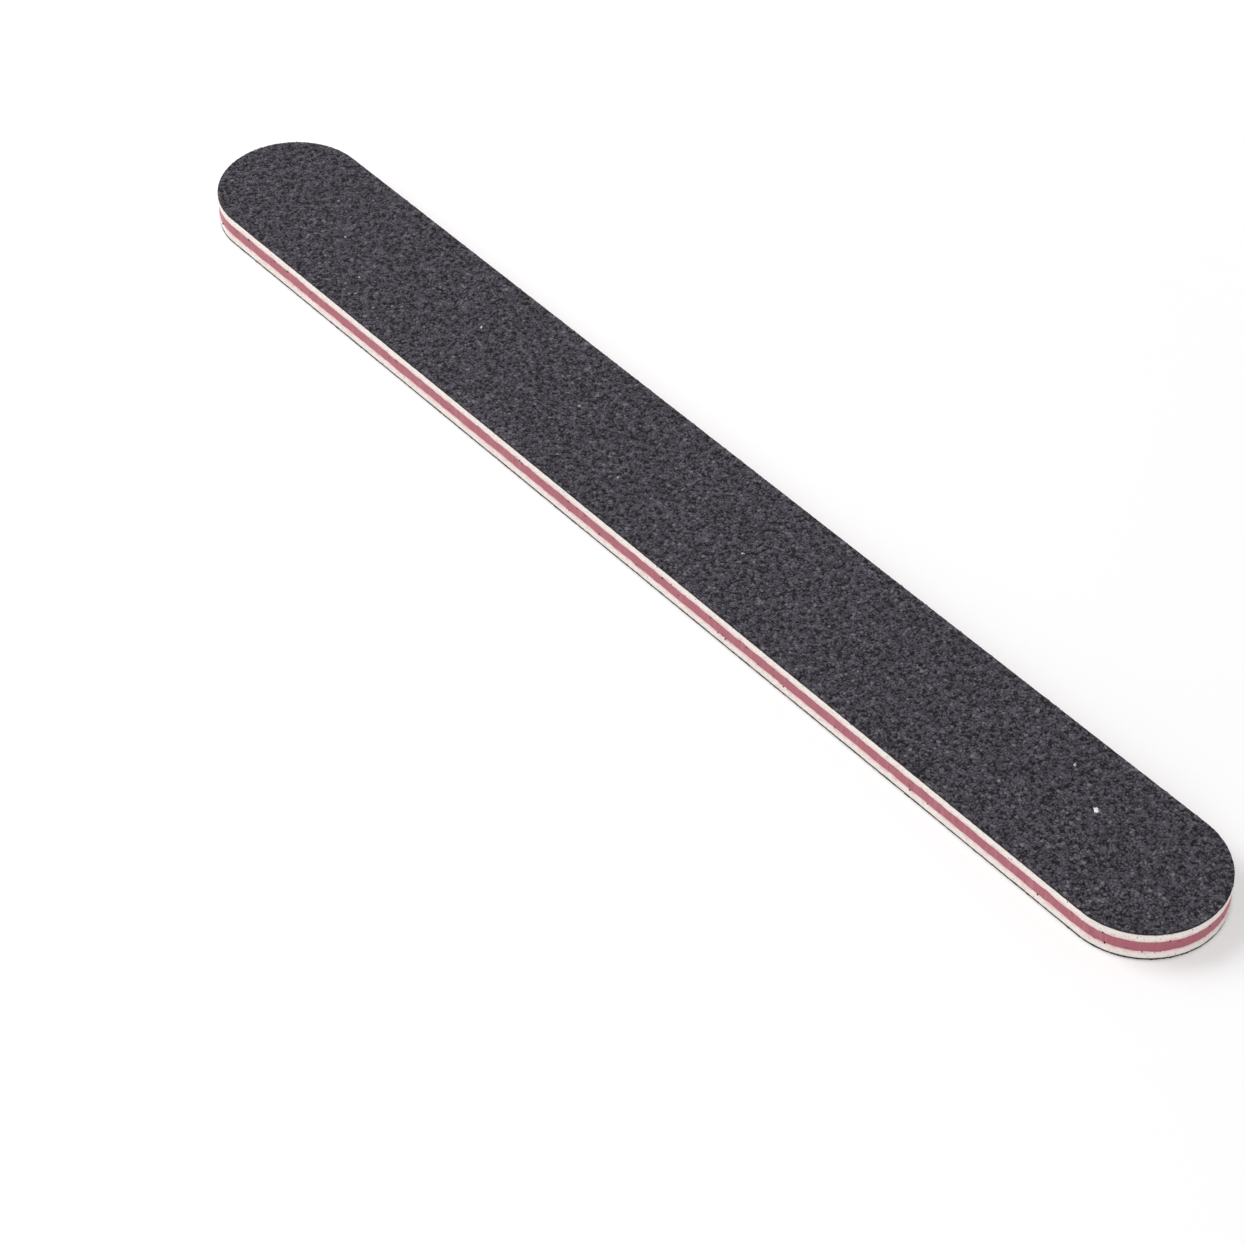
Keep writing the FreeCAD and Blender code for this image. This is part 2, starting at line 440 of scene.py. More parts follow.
class TreeBench(NodeBench):
    """A geometry node tree with named inputs, given by their defaults. A material has none."""

    def __init__(self, name, inputs):
        super().__init__(bpy.data.node_groups.new(name, "GeometryNodeTree"))
        face = self.tree.interface
        for direction in ("INPUT", "OUTPUT"):
            face.new_socket("Geometry", in_out=direction, socket_type="NodeSocketGeometry")
        for label, default in inputs.items():
            socket = face.new_socket(label, in_out="INPUT", socket_type=SOCKET_KINDS[type(default)])
            if default is not None:
                socket.default_value = default
        self.entry = self.tree.nodes.new("NodeGroupInput")

    def given(self, name):
        """One of the tree's inputs."""
        return Signal(self, self.entry.outputs[name])

    def position(self):
        """Where each element is."""
        return self.add("GeometryNodeInputPosition")

    def rise(self):
        """How far each normal points upwards."""
        return self.part(self.add("GeometryNodeInputNormal"), "Z")

    def random(self, least, most, seed, kind="FLOAT"):
        """A random value for each element."""
        return self.add("FunctionNodeRandomValue", {"Min": least, "Max": most, "Seed": seed}, data_type=kind)

    def store(self, geometry, name, value, kind, domain, selection=True):
        """Keeps a value on the geometry under a name."""
        inputs = {"Geometry": geometry, "Selection": selection, "Name": name, "Value": value}
        return self.add("GeometryNodeStoreNamedAttribute", inputs, data_type=kind, domain=domain)

    def store_map(self, geometry, u, v, selection=True):
        """Keeps the corners' places on the bake map."""
        return self.store(geometry, BAKE_MAP, self.combine(u, v, 0.0), "FLOAT2", "CORNER", selection)

    def named(self, name, kind="FLOAT"):
        """A value kept under a name."""
        return self.add("GeometryNodeInputNamedAttribute", {"Name": name}, data_type=kind)

    def on_faces(self, value):
        """A number's mean over each face."""
        return self.add("GeometryNodeFieldOnDomain", {"Value": value}, domain="FACE", data_type="FLOAT")

    def move(self, geometry, selection=True, **target):
        """Moves the points to a Position, or by an Offset."""
        return self.add("GeometryNodeSetPosition", {"Geometry": geometry, "Selection": selection, **target})

    def lift(self, geometry, height, selection=True):
        """Moves the points up."""
        return self.move(geometry, selection, Offset=self.combine(0.0, 0.0, height))

    def join(self, *parts):
        """Several geometries as one."""
        return self.add("GeometryNodeJoinGeometry", {"Geometry": list(reversed(parts))})

    def weld(self, geometry):
        """Makes points that lie together one."""
        return self.add("GeometryNodeMergeByDistance", {"Geometry": geometry, "Distance": WELD})

    def finish(self, geometry):
        """Ends the tree: plain geometry with its material."""
        plain = self.add("GeometryNodeRealizeInstances", {"Geometry": geometry})
        inputs = {"Geometry": plain, "Material": self.given("Material")}
        painted = self.add("GeometryNodeSetMaterial", inputs)
        exit_node = self.tree.nodes.new("NodeGroupOutput")
        self.tree.links.new(painted.socket, exit_node.inputs["Geometry"])
        return self.tree


def face_shares(bench, length, width):
    """How far along and across the board each place is, from 0 to 1."""
    place = bench.position()
    return bench.part(place, "X") / length + 0.5, bench.part(place, "Y") / width + 0.5


def folded_map(bench, along, up, folds, share):
    """Places on the bake map of a long face, folded into strips that fill this share of the map's height."""
    strip = bench.formula("FLOOR", bench.on_faces(along) * folds)
    margin = (1.0 - STRIP_FILL) / 2.0
    return along * folds - strip, (strip + margin + up * STRIP_FILL) * (share / folds)


def pore_mask(bench, place, spacing):
    """1 in the middle of a cut foam cell and 0 between the cells. Some cells are closed."""
    depth = bench.fall(bench.cells(place, spacing), *PORE_EDGE)
    return depth * bench.fade(bench.cell_pick(place, spacing), *PORE_PICK)


def cut_layer_tree():
    """Tree for one die-cut layer: a closed slab whose cut edge bulges, wanders and has cut cells in it."""
    bench = TreeBench(LAYER_TREE, {
        "Length": BOARD_LENGTH, "Width": BOARD_WIDTH, "Base": 0.0, "Thickness": MM, "Step": MM, "Rows": 2,
        "Bulge": 0.0, "Waviness": 0.0, "Wave Size": MM, "Upright": 0.0, "Pore Spacing": MM,
        "Pore Depth": 0.0, "Seam Wander": 0.0, "Seam Size": MM, "Seed": 0.0, "Material": None,
    })
    length, width, base, thickness = map(bench.given, ("Length", "Width", "Base", "Thickness"))

    rectangle = bench.add("GeometryNodeCurvePrimitiveQuadrilateral", {"Width": length, "Height": width})
    rounding = {"Curve": rectangle, "Count": QUARTER_POINTS, "Radius": width / 2.0, "Limit Radius": True}
    outline = bench.add("GeometryNodeFilletCurve", rounding, mode="POLY")
    perimeter = bench.add("GeometryNodeCurveLength", {"Curve": outline})
    columns = bench.formula("ROUND", perimeter / bench.given("Step"))
    sheet = bench.add("GeometryNodeMeshGrid", {
        "Size X": 1.0, "Size Y": 1.0, "Vertices X": columns + 1.0, "Vertices Y": bench.given("Rows"),
    })

    # Shares of the way round the outline and up the layer.
    along, up = face_shares(bench, 1.0, 1.0)
    sheet = bench.store_map(sheet, *folded_map(bench, along, up, WALL_FOLDS, WALL_SHARE))
    on_outline = bench.add("GeometryNodeSampleCurve", {"Curves": outline, "Factor": along}, out="Position")
    spine, outward, _ = bench.stadium(on_outline, length, width)
    place = spine + outward * (width / 2.0) + bench.combine(0.0, 0.0, base + up * thickness)

    # The cut edge: a bulge, a wander that can run upright as knife marks do, and cut cells.
    upright = bench.combine(1.0, 1.0, 1.0 - bench.given("Upright"))
    wave_place = bench.formula("MULTIPLY", place, upright)
    wave = bench.wander(wave_place, bench.given("Wave Size"), bench.given("Waviness"), bench.given("Seed"))
    bulge = bench.given("Bulge") * up * (1.0 - up) * PARABOLA
    pore = pore_mask(bench, place, bench.given("Pore Spacing")) * bench.given("Pore Depth")
    wall = bench.weld(bench.move(sheet, Position=place + outward * (bulge + wave - pore)))

    # Each cap has a strip of its own at the top of the bake map.
    cap_share = (1.0 - WALL_SHARE) / 2.0
    caps = []
    for level, start in ((base, WALL_SHARE), (base + thickness, WALL_SHARE + cap_share)):
        rim = bench.formula("COMPARE", bench.part(bench.position(), "Z"), level, WELD)
        loop = bench.add("GeometryNodeMeshToCurve", {"Mesh": wall, "Selection": rim})
        cap = bench.lift(bench.add("GeometryNodeFillCurve", {"Curve": loop}), level)
        if level is base:
            cap = bench.add("GeometryNodeFlipFaces", {"Mesh": cap})
        u, v = face_shares(bench, length, width)
        caps.append(bench.store_map(cap, u, v * (cap_share * STRIP_FILL) + start))
    slab = bench.weld(bench.join(wall, *caps))

    # The seams beside the core rise and fall, alike in the layers that meet there. The faces stay flat.
    near_core = bench.fall(bench.from_middle(bench.position()), CORE_REACH, FOAM_REACH)
    rise = bench.wander(bench.position(), bench.given("Seam Size"), bench.given("Seam Wander"), detail=FINE)
    return bench.finish(bench.lift(slab, rise * near_core))


def resin_coat_tree():
    """Tree for the resin on an upper face: a closed uneven skin, chipped back along the cut edge."""
    bench = TreeBench("Resin coat", {
        "Length": BOARD_LENGTH, "Width": BOARD_WIDTH, "Base": 0.0, "Depth": MM, "Step": MM, "Bumps": 0.0,
        "Bump Size": MM, "Chips": 0.0, "Seed": 0.0, "Material": None,
    })
    length, width, base, depth = map(bench.given, ("Length", "Width", "Base", "Depth"))
    step, seed = map(bench.given, ("Step", "Seed"))

    sheet = bench.add("GeometryNodeMeshGrid", {
        "Size X": length, "Size Y": width,
        "Vertices X": bench.formula("ROUND", length / step) + 1.0,
        "Vertices Y": bench.formula("ROUND", width / step) + 1.0,
    })
    spine, outward, reach = bench.stadium(bench.position(), length, width)
    outside = bench.formula("GREATER_THAN", reach, width / 2.0)
    sheet = bench.add("GeometryNodeDeleteGeometry", {"Geometry": sheet, "Selection": outside}, domain="FACE")

    # Points on the sheet's own edge go to the outline, less what is chipped away.
    neighbours = bench.add("GeometryNodeInputMeshEdgeNeighbors")
    is_edge = bench.add("FunctionNodeCompare", {"A": neighbours, "B": 1}, data_type="INT", operation="EQUAL")
    is_rim = bench.add("GeometryNodeFieldOnDomain", {"Value": is_edge}, domain="EDGE", data_type="BOOLEAN")
    chips = bench.noise(bench.position(), RIM_CHIP_SIZE, seed) * bench.given("Chips")
    sheet = bench.move(sheet, is_rim, Position=spine + outward * (width / 2.0 - chips))
    sheet = bench.lift(sheet, base)

    pull = {"Mesh": sheet, "Offset Scale": depth, "Individual": False}
    raised = bench.add("GeometryNodeExtrudeMesh", pull)
    is_top = raised.other("Top")
    bumps = bench.wander(bench.position(), bench.given("Bump Size"), bench.given("Bumps"), seed, FINE)
    raised = bench.lift(raised, bumps, is_top)

    # The top is folded into strips on the bake map, and the rest shares a narrow band.
    u, v = face_shares(bench, length, width)
    rise = (bench.part(bench.position(), "Z") - base) / depth
    band = (1.0 - FACE_SHARE) / 2.0
    side_map = (u, (v + rise) * (band * STRIP_FILL) + FACE_SHARE)
    raised = bench.store_map(raised, *side_map)
    raised = bench.store_map(raised, *folded_map(bench, u, v, FACE_FOLDS, FACE_SHARE), is_top)
    under = bench.add("GeometryNodeFlipFaces", {"Mesh": bench.store_map(sheet, *side_map)})
    return bench.finish(bench.weld(bench.join(raised, under)))


def grit_ridges(bench, place, spacing, side=1.0):
    """Height of the ridges of grit round scattered pits: near 0 in a pit and up to about 0.8 on a ridge."""
    flat = bench.formula("MULTIPLY", place, bench.combine(1.0, side, 0.0))
    uneven = bench.wander(flat, spacing * RIDGE_BREAK_SIZE, RIDGE_BREAK)
    return bench.cells(flat, spacing, dimensions="2D") + uneven


def grain_shapes(bench, seed):
    """A handful of angular grains about one unit wide, to pick from."""
    grains = []
    for shape in range(GRAIN_SHAPES):
        block = bench.add("GeometryNodeMeshCube", {"Size": GRAIN_BLOCK})
        knock = bench.random(-CORNER_KNOCK, CORNER_KNOCK, seed + float(shape), kind="FLOAT_VECTOR")
        grain = bench.add("GeometryNodeConvexHull", {"Geometry": bench.move(block, Offset=knock)})
        # Each has a cell of the bake map: its upper faces take the left half, its lower ones the right.
        place = bench.position()
        is_low = bench.formula("LESS_THAN", bench.on_faces(bench.rise()), 0.0)
        u = (bench.part(place, "X") * CELL_SCALE + 0.5) * CELL_HALF + is_low * 0.5
        v = (bench.part(place, "Y") + bench.part(place, "Z") * CELL_LEAN) * 0.5 + 0.5
        grain = bench.store_map(grain, u, v)
        grains.append(bench.add("GeometryNodeGeometryToInstance", {"Geometry": grain}))
    return bench.join(*grains)


def scatter_grains(bench, points, least, most, tone):
    """Puts a turned grain on every point, each with its tone, as plain geometry."""
    seed = bench.given("Seed")
    grains = bench.add("GeometryNodeInstanceOnPoints", {
        "Points": points, "Instance": grain_shapes(bench, seed), "Pick Instance": True,
        "Instance Index": bench.random(0, GRAIN_SHAPES - 1, seed + SHAPE_SEED, kind="INT"),
        "Rotation": bench.random(0.0, math.tau, seed + TURN_SEED, kind="FLOAT_VECTOR"),
        "Scale": bench.random(least, most, seed + SIZE_SEED),
    })
    grains = bench.store(grains, TONE, tone, "FLOAT", "INSTANCE")

    # Cells of the bake map, row by row, one for each grain.
    count = bench.add(
        "GeometryNodeAttributeDomainSize", {"Geometry": grains}, out="Instance Count", component="INSTANCES"
    )
    across = bench.formula("CEIL", bench.formula("SQRT", count))
    index = bench.add("GeometryNodeInputIndex")
    row = bench.formula("FLOOR", index / across)
    column = index - row * across
    corner = bench.combine(column / across, row / across, 0.0)
    grains = bench.store(grains, CELL, corner, "FLOAT_VECTOR", "INSTANCE")
    plain = bench.add("GeometryNodeRealizeInstances", {"Geometry": grains})
    spread = bench.named(BAKE_MAP, "FLOAT_VECTOR") / across + bench.named(CELL, "FLOAT_VECTOR")
    plain = bench.store(plain, BAKE_MAP, spread, "FLOAT2", "CORNER")
    return bench.add("GeometryNodeRemoveAttribute", {"Geometry": plain, "Name": CELL})


def bedded_height(bench):
    """Height of a grain's points once it is flattened towards its bed and level with the tips."""
    bed = bench.given("Bed")
    height = bed + (bench.part(bench.position(), "Z") - bed) * bench.given("Flatness")
    return bench.formula("MINIMUM", height, bench.given("Tips"))


def grain_field_tree():
    """Tree that beds grains in the resin of an upper face, flattened so that no tip stands proud."""
    bench = TreeBench("Grain field", {
        "Length": BOARD_LENGTH, "Width": BOARD_WIDTH, "Pit Spacing": MM, "Ridge Contrast": 0.0,
        "Grain Contrast": 0.0, "Spacing": MM, "Count": 0.0, "Least": MM, "Most": MM, "Flatness": 1.0,
        "Bed": 0.0, "Tips": 0.0, "Edge Wear": 0.0, "Wear Width": MM, "Raggedness": 0.0, "Side": 1.0,
        "Seed": 1, "Material": None,
    })
    half_width = bench.given("Width") / 2.0
    seed = bench.given("Seed")
    ridge = grit_ridges(bench, bench.position(), bench.given("Pit Spacing"), bench.given("Side"))
    points = bench.add("GeometryNodeDistributePointsOnFaces", {
        "Mesh": bench.given("Geometry"), "Selection": bench.formula("GREATER_THAN", bench.rise(), UP_FACING),
        "Distance Min": bench.given("Spacing"), "Density Max": bench.given("Count"),
        "Density Factor": bench.fade(ridge, *PIT_RANGE), "Seed": seed,
    }, distribute_method="POISSON")

    # A grain's tone: its ridge's, which is painted shade darkening it towards the pits, its own, and the
    # wear beside the cut edge.
    spine, outward, reach = bench.stadium(bench.position(), bench.given("Length"), bench.given("Width"))
    worn = bench.fall(half_width - reach, 0.0, bench.given("Wear Width")) * bench.given("Edge Wear")
    own = bench.random(-0.5, 0.5, seed + TONE_SEED) * bench.given("Grain Contrast")
    tone = MID_TONE + (ridge - MID_RIDGE) * bench.given("Ridge Contrast") + own + worn
    grains = scatter_grains(bench, points, bench.given("Least"), bench.given("Most"), tone)

    # Grains are cut off along the outline as the rest of the board is.
    ragged = bench.wander(bench.position(), bench.given("Spacing"), bench.given("Raggedness"))
    flush = spine + outward * bench.formula("MINIMUM", reach, half_width + ragged)
    grains = bench.move(grains, Position=flush + bench.combine(0.0, 0.0, bedded_height(bench)))
    return bench.finish(grains)


def crumb_tree():
    """Tree that scatters grit crumbs over the upright faces of a wall."""
    bench = TreeBench("Crumbs", {"Count": 0.0, "Least": MM, "Most": MM, "Seed": 1, "Material": None})
    seed = bench.given("Seed")
    points = bench.add("GeometryNodeDistributePointsOnFaces", {
        "Mesh": bench.given("Geometry"), "Selection": bench.formula("COMPARE", bench.rise(), 0.0, WALL_LEAN),
        "Density": bench.given("Count"), "Seed": seed,
    })
    tone = bench.random(0.0, MID_TONE, seed + TONE_SEED)
    return bench.finish(scatter_grains(bench, points, bench.given("Least"), bench.given("Most"), tone))


def placed_grain_tree():
    """Tree that puts one grain on each point of a mesh, as wide and as pale as the point says."""
    inputs = {"Flatness": 1.0, "Bed": 0.0, "Tips": 0.0, "Seed": 1, "Material": None}
    bench = TreeBench("Placed grains", inputs)
    width = bench.named(GRAIN_WIDTH)
    grains = scatter_grains(bench, bench.given("Geometry"), width * PLACED_LEAST, width, bench.named(TONE))
    x, y = (bench.part(bench.position(), axis) for axis in "XY")
    return bench.finish(bench.move(grains, Position=bench.combine(x, y, bedded_height(bench))))


def run_tree(tree, name, values, source=None):
    """Makes an object from a node tree, as a plain mesh with no modifier left on it."""
    start = source.copy() if source else bpy.data.meshes.new(name + "_start")
    piece = bpy.data.objects.new(name, start)
    bpy.context.scene.collection.objects.link(piece)
    modifier = piece.modifiers.new(tree.name, "NODES")
    modifier.node_group = tree
    sockets = {
        item.name: item.identifier
        for item in tree.interface.items_tree
        if item.item_type == "SOCKET" and item.in_out == "INPUT"
    }
    for label, value in values.items():
        modifier[sockets[label]] = value
    depsgraph = bpy.context.evaluated_depsgraph_get()
    result = bpy.data.meshes.new_from_object(
        piece.evaluated_get(depsgraph), preserve_all_data_layers=True, depsgraph=depsgraph
    )
    piece.modifiers.remove(modifier)
    piece.data = result
    result.name = name
    bpy.data.meshes.remove(start)
    if not result.polygons:
        raise RuntimeError(f"{name} came out empty")
    return piece


def dress_piece(piece, nodes=()):
    """Puts a finished piece on the board's body and hides the nodes it stands for."""
    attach(piece, BODY)
    if nodes:
        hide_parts(*nodes)


def smooth_with_creases(piece):
    """Smooth shading that keeps the corners between the cut edge and the flat sides."""
    piece.data.shade_smooth()
    piece.data.set_sharp_from_angle(angle=CREASE)


def layer_span(node):
    """Height of a layer's lower side, and its thickness."""
    low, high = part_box(node)
    return low[2], high[2] - low[2]


def make_layer(name, node, values):
    """One die-cut layer in the place of its node."""
    base, thickness = layer_span(node)
    cut = bpy.context.scene.emery_board.cut
    tree = bpy.data.node_groups.get(LAYER_TREE) or cut_layer_tree()
    seam = {"Seam Wander": cut.seam_wander, "Seam Size": cut.seam_size}
    piece = run_tree(tree, name, {"Base": base, "Thickness": thickness, **seam, **values})
    smooth_with_creases(piece)
    dress_piece(piece, (node,))
    return piece


def turn_over(piece):
    """Turns what was made for the upper face over to the lower one."""
    piece.data.transform(Matrix.Translation((0.0, 0.0, BOARD_THICKNESS)) @ Matrix.Rotation(math.pi, 4, "X"))


class PaintBench(NodeBench):
    """A new node material: its shader, and the place on the board that its patterns read."""

    def __init__(self, name):
        self.material = bpy.data.materials.new(name)
        self.material.use_nodes = True
        super().__init__(self.material.node_tree)
        self.tree.nodes.clear()
        self.shader = self.tree.nodes.new("ShaderNodeBsdfPrincipled")
        self.surface = self.tree.nodes.new("ShaderNodeOutputMaterial").inputs["Surface"]
        self.tree.links.new(self.shader.outputs["BSDF"], self.surface)
        self.place = self.add("ShaderNodeTexCoord", out="Object")

    def paint(self, **values):
        """Sets the shader's sockets, named with underscores for spaces, and gives the material."""
        for name, value in values.items():
            self.feed(self.shader.inputs[name.replace("_", " ")], value)
        return self.material

    def stretched(self, x, y, z):
        """The place on the board, with each axis scaled."""
        return self.formula("MULTIPLY", self.place, (x, y, z))

    def mix(self, factor, first, second):
        """A mix of two colours."""
        return self.add("ShaderNodeMix", {"Factor": factor, "A": first, "B": second}, data_type="RGBA")

    def bump(self, height, depth):
        """Relief of this depth from a height between 0 and 1."""
        return self.add("ShaderNodeBump", {"Height": height, "Distance": depth, "Strength": 1.0})

    def ramp(self, factor, places, colours):
        """A colour ramp through these colours at these places."""
        node = self.tree.nodes.new("ShaderNodeValToRGB")
        self.feed(node.inputs["Fac"], factor)
        elements = node.color_ramp.elements
        while len(elements) < len(places):
            elements.new(1.0)
        for element, place, colour in zip(elements, places, colours):
            element.position = place
            element.color = (*colour, 1.0)
        return Signal(self, node.outputs["Color"])

    def tone(self):
        """Each grain's own tone."""
        return self.add("ShaderNodeAttribute", out="Fac", attribute_name=TONE, attribute_type="GEOMETRY")


def foam_material(settings):
    """White closed-cell foam with painted shade in its cut cells, a fine grain and the core's colour smeared
    beside it.
    """
    bench = PaintBench("cushion_foam")
    colours = settings.colours
    pore = pore_mask(bench, bench.place, settings.cut.pore_spacing)
    cloud = bench.wander(bench.place, size=1.6 * MM, reach=0.25)
    # The cut cells take painted shade; the clouds are the foam's own mottling.
    dark = bench.clamp(bench.spread(pore, low=0.0, high=0.75) + cloud)
    cells = bench.mix(dark, colours.foam, colours.foam_pore)
    ragged = bench.wander(bench.place, size=0.7 * MM, reach=0.6 * MM)
    from_core = bench.from_middle(bench.place) - CORE_REACH + ragged
    smear = bench.fall(from_core, start=0.0, end=0.55 * MM, high=0.7)
    grain = bench.noise(bench.place, size=0.12 * MM, detail=FINE)
    return bench.paint(
        Base_Color=bench.mix(smear, cells, colours.core_smear), Roughness=0.92, Specular_IOR_Level=0.25,
        Normal=bench.bump(grain, depth=0.02 * MM),
    )


def core_material(settings):
    """Pink plastic with upright cutter streaks and a little dark dust."""
    bench = PaintBench("core_plastic")
    colours = settings.colours
    streak = bench.noise(bench.stretched(1.0, 1.0, 0.12), size=0.35 * MM, detail=FINE)
    cloud = bench.wander(bench.place, size=2.5 * MM, reach=0.25)
    body = bench.mix(bench.fade(streak + cloud, start=0.45, end=0.8), colours.core, colours.core_streak)
    uneven = bench.wander(bench.place, size=0.09 * MM, reach=0.08)
    speck = bench.fall(bench.cells(bench.place, size=0.8 * MM) + uneven, start=0.03, end=0.08, high=0.8)
    return bench.paint(
        Base_Color=bench.mix(speck, body, colours.core_dust),
        Roughness=bench.spread(streak, low=0.35, high=0.6), Specular_IOR_Level=0.4,
        Normal=bench.bump(streak, depth=0.015 * MM),
    )


def paper_material(settings):
    """Dark backing paper with paler fibres in its cut edge."""
    bench = PaintBench("backing_paper")
    colours = settings.colours
    fibre = bench.noise(bench.stretched(1.0, 1.0, 3.0), size=0.25 * MM, detail=FIBROUS)
    return bench.paint(
        Base_Color=bench.mix(bench.fade(fibre, start=0.5, end=0.75), colours.paper, colours.paper_fibre),
        Roughness=0.88, Specular_IOR_Level=0.2, Normal=bench.bump(fibre, depth=0.02 * MM),
    )


def glue_material(settings):
    """Pale adhesive film, a little uneven and less matt than the foam."""
    bench = PaintBench("adhesive_film")
    colours = settings.colours
    cloud = bench.noise(bench.place, size=0.8 * MM, detail=FINE)
    return bench.paint(
        Base_Color=bench.mix(bench.fade(cloud, start=0.4, end=0.7), colours.glue, colours.glue_thick),
        Roughness=bench.spread(cloud, low=0.4, high=0.6), Specular_IOR_Level=0.4,
        Normal=bench.bump(cloud, depth=0.01 * MM),
    )


def grit_colour(bench, settings, tone):
    """Colour of the grit, from pits black with dark resin and painted shade, through charcoal, to a painted
    glint on rare tips, in soft clouds.
    """
    grit, colours = settings.grit, settings.colours
    cloud = bench.noise(bench.place, grit.cloud_size, detail=FINE) - 0.5
    # From pits with painted shade through the grains to a painted glint at the top.
    steps = (colours.pit, colours.grain, colours.grain_light, colours.grain_glint)
    return bench.ramp(tone + cloud * grit.cloud_contrast, TONE_STOPS, steps)


def resin_material(settings):
    """Dark resin full of grains too fine to be modelled one by one, with pits between their ridges; the pits
    and the feet of the fine grains carry painted shade, their tops painted light.
    """
    bench = PaintBench("grit_resin")
    grit = settings.grit
    ridge = grit_ridges(bench, bench.place, grit.pit_spacing)
    # Pits: dark resin with painted shade in them.
    pit = bench.fall(ridge, *PIT_RANGE)
    own = bench.cell_pick(bench.place, grit.dust_size) - 0.5
    # Each fine grain's middle: the bump's height, and painted light on its top with painted shade round its
    # foot.
    rise = bench.fall(bench.cells(bench.place, grit.dust_size), start=0.2, end=0.7)
    # The tone: painted shade towards the pits and deeper in them, each fine grain's own tone, and painted
    # light on its top with painted shade round its foot.
    tone = (
        MID_TONE + (ridge - MID_RIDGE) * grit.ridge_shading + own * grit.grain_contrast
        + (rise - 0.5) * grit.relief_shading - pit * grit.pit_resin_and_shade
    )
    return bench.paint(
        Base_Color=grit_colour(bench, settings, tone), Roughness=0.7, Specular_IOR_Level=0.12,
        Normal=bench.bump(rise, depth=0.06 * MM),
    )


def grain_material(settings):
    """Abrasive grains: each has its own tone, with painted shade at its foot and painted light at its tip.
    """
    bench = PaintBench(GRAIN_MATERIAL)
    tone = bench.tone()
    # Height up the grain, for the painted shade at its foot and the painted light at its tip.
    rise = bench.clamp((bench.from_middle(bench.place) - PAPER_REACH) / (TIP_REACH - PAPER_REACH))
    level = tone + (rise - 0.5) * settings.grit.relief_shading
    return bench.paint(
        Base_Color=grit_colour(bench, settings, level),
        Roughness=bench.spread(tone, low=0.62, high=0.47), Specular_IOR_Level=0.15,
    )


def pale_grain_material(settings):
    """Grains that the resin has coloured little or not at all."""
    bench = PaintBench("pale_grain")
    colours = settings.colours
    # Here the glint colour serves as the small pale grains' own grey, up to white.
    pale = bench.mix(bench.tone(), colours.grain_glint, colours.pale_grain)
    return bench.paint(Base_Color=pale, Roughness=0.5, Specular_IOR_Level=0.4)


def seen_directly(bench):
    """1 for rays that show a surface as it is: straight to the camera, mirrored or through glass."""
    path = bench.add("ShaderNodeLightPath", out="Is Camera Ray")
    mirrored = bench.formula("MAXIMUM", path.other("Is Glossy Ray"), path.other("Is Transmission Ray"))
    return bench.formula("MAXIMUM", path, mirrored)


def floor_material(studio):
    """Pale floor that the camera sees as white, apart from the shadow close to the board."""
    bench = PaintBench("floor")
    direct = seen_directly(bench)
    _, _, reach = bench.stadium(bench.place, BOARD_LENGTH, BOARD_WIDTH)
    far = bench.fade(reach, studio.white_from, studio.white_to)
    white = bench.add("ShaderNodeEmission", {"Color": WHITE, "Strength": 1.0})
    lit = Signal(bench, bench.shader.outputs["BSDF"])
    veiled = bench.add("ShaderNodeMixShader", {0: direct * far, 1: lit, 2: white})
    bench.feed(bench.surface, veiled)
    return bench.paint(
        Base_Color=studio.floor, Roughness=1.0, Specular_IOR_Level=0.0,
        Emission_Color=WHITE, Emission_Strength=direct * studio.floor_glow,
    )


class EMERY_OT_core(bpy.types.Operator):
    """Cuts the stiff pink strip in the middle of the board"""

    bl_idname = "emery.core"
    bl_label = "Core strip"

    seed = 1.0

    def execute(self, context):
        settings = context.scene.emery_board
        cut = settings.cut
        make_layer("pink_core", "core_strip", {
            "Step": cut.core_step, "Rows": cut.core_rows, "Waviness": cut.knife_marks,
            "Wave Size": cut.knife_mark_size, "Upright": cut.uprightness, "Seed": self.seed,
            "Material": core_material(settings),
        })
        return {"FINISHED"}


class EMERY_OT_foam(bpy.types.Operator):
    """Cuts the two white foam pads, with open cells in their cut edges"""

    bl_idname = "emery.foam"
    bl_label = "Foam pads"

    first_seed = 2

    def execute(self, context):
        settings = context.scene.emery_board
        cut = settings.cut
        material = foam_material(settings)
        for seed, side in enumerate(FACES, start=self.first_seed):
            pad = make_layer(f"{side}_foam", f"{side}_foam_pad", {
                "Step": cut.foam_step, "Rows": cut.foam_rows, "Bulge": cut.foam_bulge,
                "Waviness": cut.foam_waviness, "Wave Size": cut.foam_wave_size,
                "Pore Spacing": cut.pore_spacing, "Pore Depth": cut.pore_depth,
                "Seed": float(seed), "Material": material,
            })
        return {"FINISHED"}


class EMERY_OT_papers(bpy.types.Operator):
    """Cuts the two backing papers that carry the grit"""

    bl_idname = "emery.papers"
    bl_label = "Backing papers"

    first_seed = 4

    def execute(self, context):
        settings = context.scene.emery_board
        cut = settings.cut
        material = paper_material(settings)
        for seed, side in enumerate(FACES, start=self.first_seed):
            make_layer(f"{side}_paper", f"{side}_backing_paper", {
                "Step": cut.sheet_step, "Rows": cut.sheet_rows, "Waviness": cut.sheet_raggedness,
                "Wave Size": cut.sheet_wave_size, "Seed": float(seed), "Material": material,
            })
        return {"FINISHED"}


